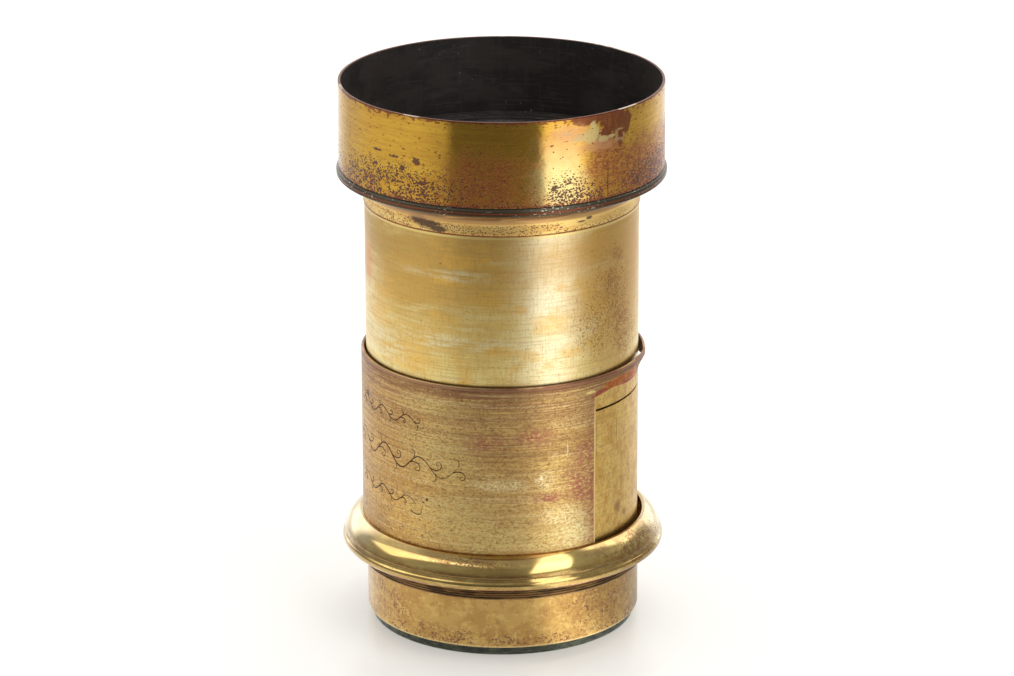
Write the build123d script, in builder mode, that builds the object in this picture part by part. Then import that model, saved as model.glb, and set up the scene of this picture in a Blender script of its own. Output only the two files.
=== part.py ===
"""Brass portrait lens: a rack-focused four-element lens in a drawn brass barrel.

Units are millimetres. The optical axis is Z, with +Z towards the subject. The origin is on the axis in
the plane of the mounting collar's seat, where the lens meets a camera's flange. -Y is the front of the
barrel, +X is the side with the stop window, and +Y is the side with the focusing pinion.
"""

import os
from math import acos, cos, pi, radians, sin, sqrt, tan

from build123d import *

# ---------------------------------------------------------------- driving dimensions
# draw tube, which carries both lens cells
tube_r = 40.0
tube_bore = 38.75
tube_low = -4.7
tube_high = 104.9

# outer sleeve in which the draw tube slides
sleeve_bore = 40.1
sleeve_r = 41.4
sleeve_low = 1.0
sleeve_high = 60.0
rim_bevel = 1.0
rim_bevel_depth = 0.5

# mounting collar soldered round the sleeve's rear end
collar_bore = 40.08
collar_high = 9.1
thread_r = 42.2
thread_low = -4.5
seat_r = 46.0
foot_bead_r = 47.3

# front cell and hood
cell_band_r = 40.3
cell_band_high = 109.1
flange_low = 113.6
flange_r = 48.0
hood_low = 116.3
hood_high = 140.7
hood_r = 47.35
hood_wall = 0.8
cell_high = 117.8

# rear cell
band_r = 40.2
band_low = -20.35
foot_low = -23.0
foot_ring_r = 38.75

# threads and seats, drawn as plain cylinders
spigot_r = 38.68
front_spigot_low = 98.4
rear_spigot_high = 4.6
aperture_r = 36.3
touch = 0.01

# optics: every element has the same edge, and curvatures are in millimetres
glass_r = 37.5
glass_bore = 37.55
front_curve = 162.0
cement_curve = 127.0
front_back_curve = 1335.0
front_crown_centre = 12.6
front_flint_centre = 3.2
front_glass_low = 103.0
rear_flint_front_curve = 320.0
rear_flint_back_curve = 113.0
rear_flint_centre = 4.35
rear_air = 9.6
rear_crown_front_curve = 139.0
rear_crown_back_curve = 458.0
rear_crown_centre = 10.4
rear_glass_low = -18.0

# stop slot through the draw tube, with a guide ring above and below it
slot_z = 49.2
slot_height = 0.9
guide_height = 3.0
guide_bore = 35.5
window_centre = 85.0  # degrees round from -Y towards +X
window_half = 43.7
slot_half = 42.5
window_corner_z = 54.0
window_crown_z = 58.2
strip_bow = 0.6
strip_wall = 1.1

# rack and pinion
module = 0.7
teeth = 14
pressure_angle = 20.0
pinion_tip = 0.6
rack_tip = 0.55
root_depth = 0.75
backlash = 0.12
pinion_z = 51.8
pitch_line_y = 41.4
rack_half_width = 3.0
rack_seat_y = 39.4
rack_gaps_below = 1
rack_gaps_above = 18
rack_landing = 3.5
rack_slot_half = 3.6
gear_half = 3.5
shaft_r = 2.0
journal_r = 2.05
shaft_left = -11.6
shaft_right = 28.6

# pinion block and cap
block_half_x = 12.0
block_half_z = 7.8
drum_r = 7.3
drum_half_x = 5.6
drum_wall = 1.1
hump_r = 4.0
cap_flange = 2.3
cap_gap = 0.1
cap_screw_x = 9.2
cap_screw_z = 5.8
cap_screw_r = 0.95
cap_head_r = 1.7
cap_head_height = 1.2

# focusing knob
knob_r = 10.4
knob_left = 20.8
knob_right = 28.6
hub_r = 3.6
hub_left = 13.0
knob_flutes = 60
flute_r = 0.32
washer_wall = 0.6

# worked-out values
hood_bore = hood_r - hood_wall
pitch = pi * module
pitch_r = module * teeth / 2
pinion_y = pitch_line_y + pitch_r
rack_low = pinion_z - (rack_gaps_below + 0.5) * pitch - rack_landing
rack_high = pinion_z + (rack_gaps_above + 0.5) * pitch + rack_landing
pinion_axis = Plane(origin=(0, pinion_y, pinion_z), x_dir=(0, 1, 0), z_dir=(1, 0, 0))


# ---------------------------------------------------------------- helpers
def sag(curve, height):
    """How far a spherical face of that radius falls back at that height from the axis."""
    return curve - sqrt(curve**2 - height**2)


def around(angle, radius):
    """The point at that angle round from -Y towards +X."""
    return (radius * sin(radians(angle)), -radius * cos(radians(angle)))


def section(r_in, r_out, z_low, z_high, mode=Mode.ADD):
    """A rectangle of a turned part's half section, in a sketch on Plane.XZ."""
    with Locations(((r_in + r_out) / 2, (z_low + z_high) / 2)):
        Rectangle(r_out - r_in, z_high - z_low, mode=mode)


def element(top, bottom, top_curve, bottom_curve):
    """A lens element from its two vertices. A positive curve bulges out, a negative one is hollow."""
    mid = glass_r / 2
    top_side = 1 if top_curve > 0 else -1
    bottom_side = 1 if bottom_curve > 0 else -1
    top_mid, top_rim = (top - top_side * sag(abs(top_curve), h) for h in (mid, glass_r))
    bottom_mid, bottom_rim = (bottom + bottom_side * sag(abs(bottom_curve), h) for h in (mid, glass_r))
    with BuildPart() as glass:
        with BuildSketch(Plane.XZ):
            with BuildLine():
                ThreePointArc((0, top), (mid, top_mid), (glass_r, top_rim))
                Line((glass_r, top_rim), (glass_r, bottom_rim))
                ThreePointArc((glass_r, bottom_rim), (mid, bottom_mid), (0, bottom))
                Line((0, bottom), (0, top))
            make_face()
        revolve(axis=Axis.Z)
    return glass


def spanner_notches(z, r_mid, length):
    """Two notches across a retaining ring for a pin spanner, sunk half way into the level z."""
    with Locations((0, 0, z)):
        with PolarLocations(r_mid, 2):
            Box(length, 2.2, 1.2, mode=Mode.SUBTRACT)


def save(part, name):
    part.part.label = name
    export_step(part.part, f"parts/{name}.step")


# ---------------------------------------------------------------- optics, front to back
front_flint_low = front_glass_low + sag(front_back_curve, glass_r)
cement_z = front_flint_low + front_flint_centre
front_crown_top = cement_z + front_crown_centre

rear_crown_low = rear_glass_low - sag(rear_crown_back_curve, glass_r)
rear_crown_top = rear_crown_low + rear_crown_centre
rear_flint_low = rear_crown_top + rear_air
rear_flint_top = rear_flint_low + rear_flint_centre

front_crown = element(front_crown_top, cement_z + touch, front_curve, cement_curve)
front_flint = element(cement_z, front_flint_low, -cement_curve, -front_back_curve)
rear_flint = element(rear_flint_top, rear_flint_low, rear_flint_front_curve, -rear_flint_back_curve)
rear_crown = element(rear_crown_top, rear_crown_low, rear_crown_front_curve, rear_crown_back_curve)

# ---------------------------------------------------------------- front cell, its ring and the hood
front_ring_low = front_crown_top - sag(front_curve, aperture_r) + touch
front_ring_high = front_ring_low + 2.2
ring_thread_r = 39.1

with BuildPart() as front_cell:
    with BuildSketch(Plane.XZ):
        with BuildLine():
            Polyline(
                (aperture_r, front_spigot_low),
                (spigot_r, front_spigot_low),
                (spigot_r, tube_high),
                (cell_band_r, tube_high),
                (cell_band_r, cell_band_high),
            )
            # hollow cove under the flange
            ThreePointArc((cell_band_r, cell_band_high), (42.1, 112.2), (flange_r - 1.2, flange_low))
            # rounded edge of the flange
            ThreePointArc((flange_r - 1.2, flange_low), (flange_r, 114.9), (hood_r, hood_low))
            Polyline(
                (hood_r, hood_low),
                (hood_bore - 0.05, hood_low),
                (hood_bore - 0.05, cell_high),
                (ring_thread_r + 0.06, cell_high),
                (ring_thread_r + 0.06, front_ring_low - 0.3),
                (glass_bore, front_ring_low - 0.3),
                (glass_bore, front_glass_low - touch),
                (aperture_r, front_glass_low - touch),
                (aperture_r, front_spigot_low),
            )
        make_face()
    revolve(axis=Axis.Z)

with BuildPart() as front_retaining_ring:
    with BuildSketch(Plane.XZ):
        section(aperture_r, ring_thread_r, front_ring_low, front_ring_high)
    revolve(axis=Axis.Z)
    chamfer(edges().group_by(Axis.Z)[-1].sort_by(SortBy.RADIUS)[0], 0.8)
    spanner_notches(front_ring_high, (aperture_r + ring_thread_r) / 2, 3.4)

with BuildPart() as lens_hood:
    with BuildSketch(Plane.XZ):
        section(hood_bore, hood_r, hood_low, hood_high)
    revolve(axis=Axis.Z)
    fillet(edges().group_by(Axis.Z)[-1], 0.3)

# ---------------------------------------------------------------- rear cell, its spacer and its ring
rear_ledge_z = rear_flint_top - sag(rear_flint_front_curve, aperture_r) + touch
rear_ring_high = rear_crown_low + sag(rear_crown_back_curve, aperture_r) - touch
rear_ring_spigot = 38.2
spacer_low = rear_crown_top - sag(rear_crown_front_curve, aperture_r) + touch
spacer_high = rear_flint_low - sag(rear_flint_back_curve, glass_r) - touch

with BuildPart() as rear_cell:
    with BuildSketch(Plane.XZ):
        section(aperture_r, spigot_r, tube_low, rear_spigot_high)
        section(aperture_r, band_r, band_low, tube_low)
        section(aperture_r, glass_bore, band_low, rear_ledge_z, mode=Mode.SUBTRACT)
        section(aperture_r, rear_ring_spigot + 0.06, band_low, rear_ring_high, mode=Mode.SUBTRACT)
    revolve(axis=Axis.Z)
    chamfer(edges().group_by(Axis.Z)[0].sort_by(SortBy.RADIUS)[-1], 0.35)

with BuildPart() as rear_spacer:
    with BuildSketch(Plane.XZ):
        section(aperture_r, glass_r, spacer_low, spacer_high)
    revolve(axis=Axis.Z)

with BuildPart() as rear_retaining_ring:
    with BuildSketch(Plane.XZ):
        section(aperture_r, foot_ring_r, foot_low, band_low)
        section(aperture_r, rear_ring_spigot, band_low, rear_ring_high)
    revolve(axis=Axis.Z)
    fillet(edges().group_by(Axis.Z)[0].sort_by(SortBy.RADIUS)[-1], 0.4)
    chamfer(edges().group_by(Axis.Z)[0].sort_by(SortBy.RADIUS)[0], 0.8)
    spanner_notches(foot_low, (aperture_r + foot_ring_r) / 2, 3.4)

# ---------------------------------------------------------------- draw tube and stop guides
guide_half_gap = slot_height / 2

with BuildPart() as draw_tube:
    with BuildSketch(Plane.XZ):
        section(tube_bore, tube_r, tube_low, tube_high)
    revolve(axis=Axis.Z)
    chamfer(edges().filter_by(GeomType.CIRCLE).sort_by(SortBy.RADIUS)[-2:], 0.25)
    # slot for a stop plate
    with BuildSketch(Plane.XY.offset(slot_z - guide_half_gap)):
        with BuildLine():
            Polyline(
                (0, 0),
                around(window_centre - slot_half, 2 * tube_r),
                around(window_centre, 3 * tube_r),
                around(window_centre + slot_half, 2 * tube_r),
                close=True,
            )
        make_face()
    extrude(amount=slot_height, mode=Mode.SUBTRACT)
    # flat that the rack is bedded on
    with BuildSketch(Plane.XY.offset(rack_low)):
        with Locations((0, rack_seat_y + 1)):
            Rectangle(2 * rack_half_width + 0.1, 2)
    extrude(amount=rack_high - rack_low, mode=Mode.SUBTRACT)
    # tapped holes for the rack's screws
    for z in (rack_low + rack_landing / 2, rack_high - rack_landing / 2):
        with BuildSketch(Plane(origin=(0, tube_bore - 2, z), z_dir=(0, 1, 0))):
            Circle(0.82)
        extrude(amount=4, mode=Mode.SUBTRACT)

with BuildPart() as stop_guide_front:
    with BuildSketch(Plane.XZ):
        guide_low = slot_z + guide_half_gap
        section(guide_bore, tube_bore - 0.05, guide_low, guide_low + guide_height)
    revolve(axis=Axis.Z)
    chamfer(edges().group_by(Axis.Z)[-1].sort_by(SortBy.RADIUS)[0], 1.2)

with BuildPart() as stop_guide_rear:
    with BuildSketch(Plane.XZ):
        guide_high = slot_z - guide_half_gap
        section(guide_bore, tube_bore - 0.05, guide_high - guide_height, guide_high)
    revolve(axis=Axis.Z)
    chamfer(edges().group_by(Axis.Z)[0].sort_by(SortBy.RADIUS)[0], 1.2)

# ---------------------------------------------------------------- sleeve and mounting collar
window_plane = Plane(
    origin=(0, 0, 0),
    x_dir=(*around(window_centre + 90, 1), 0),
    z_dir=(*around(window_centre, 1), 0),
)
half_chord = sleeve_r * sin(radians(window_half))
strip_ends = (window_centre - window_half - 3, window_centre + window_half + 3)


def bowed_arc(radius, bow):
    """An arc across the window that stands off the round by bow at its middle."""
    ends = [around(angle, radius) for angle in strip_ends]
    return ThreePointArc(ends[0], around(window_centre, radius + bow), ends[1])


with BuildPart() as outer_sleeve:
    with BuildSketch(Plane.XZ):
        section(sleeve_bore, sleeve_r, sleeve_low, sleeve_high)
    revolve(axis=Axis.Z)
    rim = edges().group_by(Axis.Z)[-1].sort_by(SortBy.RADIUS)[-1]
    chamfer(rim, rim_bevel_depth, rim_bevel)
    # the strip of rim over the window is bent outwards
    strip_low = window_corner_z - 3
    with BuildSketch(Plane.XY.offset(strip_low)):
        with BuildLine():
            Polyline(
                around(strip_ends[0], tube_r - 6),
                around(strip_ends[0], 2 * tube_r),
                around(window_centre, 3 * tube_r),
                around(strip_ends[1], 2 * tube_r),
                around(strip_ends[1], tube_r - 6),
                close=True,
            )
        make_face()
    extrude(amount=sleeve_high - strip_low + 1, mode=Mode.SUBTRACT)
    with BuildSketch(Plane.XY.offset(strip_low)):
        with BuildLine():
            outer = bowed_arc(sleeve_r, strip_bow)
            inner = bowed_arc(sleeve_bore, strip_bow + (sleeve_r - sleeve_bore) - strip_wall)
            Line(outer @ 0, inner @ 0)
            Line(outer @ 1, inner @ 1)
        make_face()
    extrude(amount=sleeve_high - strip_low)
    # stop window with an arched top, open down to the collar
    with BuildSketch(window_plane):
        with BuildLine():
            Polyline(
                (-half_chord, window_corner_z),
                (-half_chord, sleeve_low - 1),
                (half_chord, sleeve_low - 1),
                (half_chord, window_corner_z),
            )
            ThreePointArc((half_chord, window_corner_z), (0, window_crown_z), (-half_chord, window_corner_z))
        make_face()
    extrude(amount=2 * sleeve_r, mode=Mode.SUBTRACT)
    # slot for the rack, open at the rim
    with BuildSketch(Plane.XY.offset(collar_high)):
        with Locations((0, sleeve_r)):
            Rectangle(2 * rack_slot_half, 6)
    extrude(amount=sleeve_high, mode=Mode.SUBTRACT)

with BuildPart() as mount_collar:
    with BuildSketch(Plane.XZ):
        with BuildLine():
            Polyline(
                (collar_bore, sleeve_low),
                (collar_bore, thread_low),
                (thread_r - 0.3, thread_low),
                (thread_r, thread_low + 0.3),
                (thread_r, 0),
                (seat_r, 0),
            )
            # small bead, a groove, then the large round
            ThreePointArc((seat_r, 0), (foot_bead_r, 1.7), (46.5, 3.4))
            Polyline((46.5, 3.4), (46.1, 3.6), (46.1, 3.95), (46.9, 4.1))
            ThreePointArc((46.9, 4.1), (45.75, 7.7), (42.6, collar_high))
            Polyline(
                (42.6, collar_high),
                (sleeve_r + 0.02, collar_high),
                (sleeve_r + 0.02, sleeve_low),
                (collar_bore, sleeve_low),
            )
        make_face()
    revolve(axis=Axis.Z)

# ---------------------------------------------------------------- rack
tooth_half = pitch / 4 - backlash / 2
flank = tan(radians(pressure_angle))
rack_tip_y = pitch_line_y + rack_tip
rack_root_y = pitch_line_y - root_depth
gap_at_tip = pitch / 2 - tooth_half + rack_tip * flank
gap_at_root = pitch / 2 - tooth_half - root_depth * flank
gap_pitches = range(-rack_gaps_below, rack_gaps_above + 1)
rack_screw_zs = (rack_low + rack_landing / 2, rack_high - rack_landing / 2)

with BuildPart() as focus_rack:
    with BuildSketch(Plane.YZ):
        with Locations(((rack_seat_y + rack_tip_y) / 2, (rack_low + rack_high) / 2)):
            Rectangle(rack_tip_y - rack_seat_y, rack_high - rack_low)
        with Locations([(0, pinion_z + k * pitch) for k in gap_pitches]):
            Polygon(
                (rack_root_y, -gap_at_root),
                (rack_tip_y + 0.01, -gap_at_tip),
                (rack_tip_y + 0.01, gap_at_tip),
                (rack_root_y, gap_at_root),
                align=None,
                mode=Mode.SUBTRACT,
            )
    extrude(amount=rack_half_width, both=True)
    for z in rack_screw_zs:
        with Locations(Plane(origin=(0, rack_tip_y, z), z_dir=(0, 1, 0))):
            CounterSinkHole(radius=0.82, counter_sink_radius=1.5)

with BuildPart() as rack_screws:
    for z in rack_screw_zs:
        head = Plane(origin=(0, rack_tip_y - 0.05, z), z_dir=(0, -1, 0))
        with Locations(head):
            Cone(1.4, 0.78, 0.62, align=(Align.CENTER, Align.CENTER, Align.MIN))
            Cylinder(0.78, rack_tip_y - tube_bore - 0.1, align=(Align.CENTER, Align.CENTER, Align.MIN))
            Box(3, 0.35, 0.5, mode=Mode.SUBTRACT)

# ---------------------------------------------------------------- pinion, knob and its fittings
base_r = pitch_r * cos(radians(pressure_angle))
tip_r = pitch_r + pinion_tip
root_r = pitch_r - root_depth
tooth_angle = (pitch / 2 - backlash) / (2 * pitch_r)


def involute(angle):
    return tan(angle) - angle


def flank_point(radius, side):
    """A point on the flank of the tooth that points at local angle 0."""
    turn = tooth_angle + involute(radians(pressure_angle)) - involute(acos(base_r / radius))
    return (radius * cos(side * turn), radius * sin(side * turn))


radii = [base_r + (tip_r - base_r) * i / 5 for i in range(6)]
foot = ((root_r - 0.3) * cos(tooth_angle), (root_r - 0.3) * sin(tooth_angle))
left_flank = [foot] + [flank_point(r, 1) for r in radii]
right_flank = [(x, -y) for x, y in reversed(left_flank)]

# local X points at the rack, so that a tooth stands in the rack's gap
gear_plane = Plane(origin=(-gear_half, pinion_y, pinion_z), x_dir=(0, -1, 0), z_dir=(1, 0, 0))

with BuildPart() as pinion:
    with BuildSketch(gear_plane):
        Circle(root_r)
        with PolarLocations(0, teeth):
            Polygon(*left_flank, *right_flank, align=None)
    extrude(amount=2 * gear_half)
    with BuildSketch(pinion_axis.offset(shaft_left)):
        Circle(shaft_r)
    extrude(amount=shaft_right - shaft_left - 0.4)
    # tapped end for the knob's screw
    with BuildSketch(pinion_axis.offset(shaft_right - 6)):
        Circle(1.0)
    extrude(amount=6, mode=Mode.SUBTRACT)

with BuildPart() as focus_knob:
    with BuildSketch(pinion_axis.offset(hub_left)):
        Circle(hub_r)
    extrude(amount=knob_left - hub_left)
    with BuildSketch(pinion_axis.offset(knob_left)):
        Circle(knob_r)
        with PolarLocations(knob_r + 0.1, knob_flutes):
            Circle(flute_r, mode=Mode.SUBTRACT)
    extrude(amount=knob_right - knob_left)
    # plain turned lip on both sides of the milled edge
    for x in (knob_left, knob_right - 1.0):
        with BuildSketch(pinion_axis.offset(x)):
            Circle(knob_r - 0.1)
            Circle(knob_r - 1.0, mode=Mode.SUBTRACT)
        extrude(amount=1.0)
    # dished outer face
    with BuildSketch(pinion_axis.offset(knob_right - 0.9)):
        Circle(knob_r - 2.2)
        Circle(3.4, mode=Mode.SUBTRACT)
    extrude(amount=0.9, mode=Mode.SUBTRACT)
    with BuildSketch(pinion_axis.offset(hub_left)):
        Circle(shaft_r + 0.02)
    extrude(amount=knob_right - hub_left, mode=Mode.SUBTRACT)

with BuildPart() as knob_screw:
    with BuildSketch(pinion_axis.offset(shaft_right + 0.05)):
        Circle(2.8)
    extrude(amount=1.5)
    fillet(edges().filter_by(GeomType.CIRCLE).sort_by(Axis.X)[-1], 0.9)
    with BuildSketch(pinion_axis.offset(shaft_right - 5.5)):
        Circle(0.96)
    extrude(amount=5.6)
    with BuildSketch(pinion_axis.offset(shaft_right + 0.9)):
        Rectangle(7, 0.7)
    extrude(amount=2, mode=Mode.SUBTRACT)

with BuildPart() as thrust_washer:
    with BuildSketch(pinion_axis.offset(block_half_x + 0.15)):
        Circle(3.4)
        Circle(shaft_r + 0.02, mode=Mode.SUBTRACT)
    extrude(amount=washer_wall)

# ---------------------------------------------------------------- pinion block, cap and cap screws
cap_screw_places = [(x, z) for x in (-cap_screw_x, cap_screw_x) for z in (-cap_screw_z, cap_screw_z)]
cap_low_y = pinion_y + cap_gap / 2
block_high_y = pinion_y - cap_gap / 2
gear_room = tip_r + 0.5
# looking in from +Y: local X is -X of the part, local Y is +Z
block_top = Plane(origin=(0, block_high_y, pinion_z), x_dir=(-1, 0, 0), z_dir=(0, 1, 0))
cap_base = Plane(origin=(0, cap_low_y, pinion_z), x_dir=(-1, 0, 0), z_dir=(0, 1, 0))
flange_top_y = cap_low_y + cap_flange

with BuildPart() as pinion_block:
    with BuildSketch(block_top):
        RectangleRounded(2 * block_half_x, 2 * block_half_z, 1.0)
    extrude(amount=-(block_high_y - 38))
    # hollow underside that beds on the sleeve
    with BuildSketch(Plane.XY.offset(pinion_z - 10)):
        Circle(sleeve_r + 0.02)
    extrude(amount=20, mode=Mode.SUBTRACT)
    # passage for the rack, and room for the pinion
    with BuildSketch(Plane.XY.offset(pinion_z - 10)):
        with Locations((0, rack_tip_y - 2)):
            Rectangle(2 * rack_slot_half, 5)
    extrude(amount=20, mode=Mode.SUBTRACT)
    with BuildSketch(pinion_axis.offset(-gear_half - 0.5)):
        Circle(gear_room)
    extrude(amount=2 * gear_half + 1, mode=Mode.SUBTRACT)
    with BuildSketch(pinion_axis.offset(-block_half_x - 1)):
        Circle(journal_r)
    extrude(amount=2 * block_half_x + 2, mode=Mode.SUBTRACT)
    with BuildSketch(block_top):
        with Locations(cap_screw_places):
            Circle(cap_screw_r + 0.05)
    extrude(amount=-4.0, mode=Mode.SUBTRACT)

with BuildPart() as pinion_cap:
    with BuildSketch(cap_base):
        RectangleRounded(2 * block_half_x, 2 * block_half_z, 1.0)
    extrude(amount=cap_flange)
    with BuildSketch(pinion_axis.offset(-drum_half_x)):
        Circle(drum_r)
    extrude(amount=2 * drum_half_x)
    with BuildSketch(pinion_axis.offset(-block_half_x)):
        Circle(hump_r)
    extrude(amount=2 * block_half_x)
    with BuildSketch(pinion_axis.offset(-gear_half - 0.5)):
        Circle(gear_room)
    extrude(amount=2 * gear_half + 1, mode=Mode.SUBTRACT)
    with BuildSketch(pinion_axis.offset(-block_half_x - 1)):
        Circle(journal_r)
    extrude(amount=2 * block_half_x + 2, mode=Mode.SUBTRACT)
    with BuildSketch(cap_base):
        with Locations(cap_screw_places):
            Circle(cap_screw_r + 0.1)
    extrude(amount=cap_flange, mode=Mode.SUBTRACT)
    split(bisect_by=Plane(origin=(0, cap_low_y, 0), z_dir=(0, 1, 0)), keep=Keep.TOP)

with BuildPart() as cap_screws:
    screw_top = cap_base.offset(cap_flange + 0.02)
    with BuildSketch(screw_top):
        with Locations(cap_screw_places):
            Circle(cap_head_r)
    extrude(amount=cap_head_height)
    fillet(edges().group_by(Axis.Y)[-1], 0.35)
    with BuildSketch(screw_top):
        with Locations(cap_screw_places):
            Circle(cap_screw_r)
    extrude(amount=-(cap_flange + 3.6))
    with BuildSketch(screw_top.offset(cap_head_height - 0.6)):
        with Locations(cap_screw_places):
            Rectangle(5, 0.5, rotation=35)
    extrude(amount=1, mode=Mode.SUBTRACT)

# ---------------------------------------------------------------- files
os.makedirs("parts", exist_ok=True)
pieces = {
    "outer_sleeve": outer_sleeve,
    "mount_collar": mount_collar,
    "pinion_block": pinion_block,
    "pinion_cap": pinion_cap,
    "cap_screws": cap_screws,
    "draw_tube": draw_tube,
    "focus_rack": focus_rack,
    "rack_screws": rack_screws,
    "stop_guide_front": stop_guide_front,
    "stop_guide_rear": stop_guide_rear,
    "pinion": pinion,
    "thrust_washer": thrust_washer,
    "focus_knob": focus_knob,
    "knob_screw": knob_screw,
    "lens_hood": lens_hood,
    "front_cell": front_cell,
    "front_retaining_ring": front_retaining_ring,
    "front_crown": front_crown,
    "front_flint": front_flint,
    "rear_flint": rear_flint,
    "rear_crown": rear_crown,
    "rear_spacer": rear_spacer,
    "rear_cell": rear_cell,
    "rear_retaining_ring": rear_retaining_ring,
}
for name, piece in pieces.items():
    save(piece, name)
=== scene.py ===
from functools import reduce
from math import atan2, ceil, cos, degrees, exp, hypot, pi, radians, sin, sqrt, tau

import bmesh
import bpy
from mathutils import Matrix, Vector


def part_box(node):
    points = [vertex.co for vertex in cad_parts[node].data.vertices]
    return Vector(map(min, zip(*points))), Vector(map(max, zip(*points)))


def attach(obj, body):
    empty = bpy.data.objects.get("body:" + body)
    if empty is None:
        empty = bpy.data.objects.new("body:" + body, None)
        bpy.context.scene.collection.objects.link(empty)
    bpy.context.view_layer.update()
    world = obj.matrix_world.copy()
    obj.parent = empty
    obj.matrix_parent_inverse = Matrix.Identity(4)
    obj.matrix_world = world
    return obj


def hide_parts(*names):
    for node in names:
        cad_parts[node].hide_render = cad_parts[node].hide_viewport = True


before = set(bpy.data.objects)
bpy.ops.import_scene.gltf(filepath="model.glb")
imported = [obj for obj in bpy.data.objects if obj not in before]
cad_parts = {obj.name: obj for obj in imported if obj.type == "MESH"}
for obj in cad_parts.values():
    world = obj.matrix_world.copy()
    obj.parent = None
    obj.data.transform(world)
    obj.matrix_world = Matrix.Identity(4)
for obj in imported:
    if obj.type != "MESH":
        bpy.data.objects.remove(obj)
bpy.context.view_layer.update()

MM = 0.001
FULL_TURN = 360.0


def node_size(node):
    """Lowest z, highest z and outer radius of a CAD node, in millimetres."""
    low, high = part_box(node)
    return low.z / MM, high.z / MM, high.x / MM


# ---- sizes, read off the CAD parts
tube_low, tube_high, tube_r = node_size("draw_tube")
sleeve_low, sleeve_high, _ = node_size("outer_sleeve")
sleeve_r = -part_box("outer_sleeve")[0].x / MM
collar_low, collar_high, _ = node_size("mount_collar")
hood_low, hood_high, hood_r = node_size("lens_hood")
front_low, front_high, flange_r = node_size("front_cell")
rear_low, rear_high, band_r = node_size("rear_cell")
stand_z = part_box("rear_retaining_ring")[0].z / MM
hood_foot = hood_low - 0.9

tube_bore = 38.75
sleeve_bore = 40.1
hood_bore = 46.55
cell_band_r = 40.3
cell_band_high = 108.5
flange_low = 113.0
spigot_r = 38.68
aperture_r = 36.3
glass_bore = 37.55
front_glass_seat = 103.0
rear_glass_seat = 2.2
ring_seat_z = 113.9
ring_groove_r, ring_face_r, ring_thread_r = 42.5, 40.2, 39.16
collar_bore = 40.08
collar_seat_r = 46.0
collar_thread_r = 42.2
window_angle = 85.0
window_half = 44.5
window_corner_z = 54.0
window_crown_z = 58.2
window_from, window_to = window_angle - window_half, window_angle + window_half
slot_z = 49.2
slot_height = 0.6
slot_half = 42.5
rack_angle = 180.0
rack_slot_half = 5.0
seam_angle, seam_low, seam_high = 39.2, 116.0, 134.0


# ---- mesh helpers
def on_round(angle, radius, z):
    a = radians(angle)
    return Vector((radius * sin(a), -radius * cos(a), z))


def arc(start, middle, end, steps=10):
    """Points of the arc through three (r, z) points."""
    (ax, ay), (bx, by), (cx, cy) = start, middle, end
    d = 2 * (ax * (by - cy) + bx * (cy - ay) + cx * (ay - by))
    squares = [x * x + y * y for x, y in (start, middle, end)]
    ux = (squares[0] * (by - cy) + squares[1] * (cy - ay) + squares[2] * (ay - by)) / d
    uy = (squares[0] * (cx - bx) + squares[1] * (ax - cx) + squares[2] * (bx - ax)) / d
    radius = hypot(ax - ux, ay - uy)
    first, mid, last = (atan2(y - uy, x - ux) for x, y in (start, middle, end))
    turn = (last - first) % tau
    if (mid - first) % tau > turn:
        turn -= tau
    angles = [first + turn * i / steps for i in range(steps + 1)]
    return [(ux + radius * cos(a), uy + radius * sin(a)) for a in angles]


def soften(outline, radius, steps=3):
    """Rounds the corners of a closed outline of (r, z) points, as far as its sides leave room."""
    nearly_straight = -0.96
    out = []
    for i, point in enumerate(outline):
        here = Vector(point)
        back = Vector(outline[i - 1]) - here
        ahead = Vector(outline[(i + 1) % len(outline)]) - here
        if back.normalized().dot(ahead.normalized()) < nearly_straight:
            out.append(point)
            continue
        start = here + back.normalized() * min(radius, 0.4 * back.length)
        end = here + ahead.normalized() * min(radius, 0.4 * ahead.length)
        for k in range(steps + 1):
            t = k / steps
            out.append(tuple((1 - t) ** 2 * start + 2 * t * (1 - t) * here + t * t * end))
    return out


def new_object(name, data):
    made = bpy.data.objects.new(name, data)
    bpy.context.scene.collection.objects.link(made)
    return made


def make_piece(name, body, points, faces, materials, face_materials=None, replaces=()):
    """A mesh piece from points in millimetres, riding on a body."""
    mesh = bpy.data.meshes.new(name)
    mesh.from_pydata([Vector(p) * MM for p in points], [], faces)
    for material in materials:
        mesh.materials.append(material)
    if face_materials:
        mesh.polygons.foreach_set("material_index", face_materials)
    mesh.polygons.foreach_set("use_smooth", [True] * len(mesh.polygons))
    mesh.update()
    piece = new_object(name, mesh)
    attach(piece, body)
    if replaces:
        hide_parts(*replaces)
    return piece


def even_normals(piece):
    """Lets the large faces set the shading, so that narrow edge rounds don't bend it."""
    modifier = piece.modifiers.new("even_normals", "WEIGHTED_NORMAL")
    modifier.weight = 90
    modifier.keep_sharp = True


def ease_edges(piece, width, turn):
    """Rounds the edges that turn by more than an angle in degrees."""
    bevel = piece.modifiers.new("edges", "BEVEL")
    bevel.width = width * MM
    bevel.segments = 2
    bevel.limit_method = "ANGLE"
    bevel.angle_limit = radians(turn)
    even_normals(piece)


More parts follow.
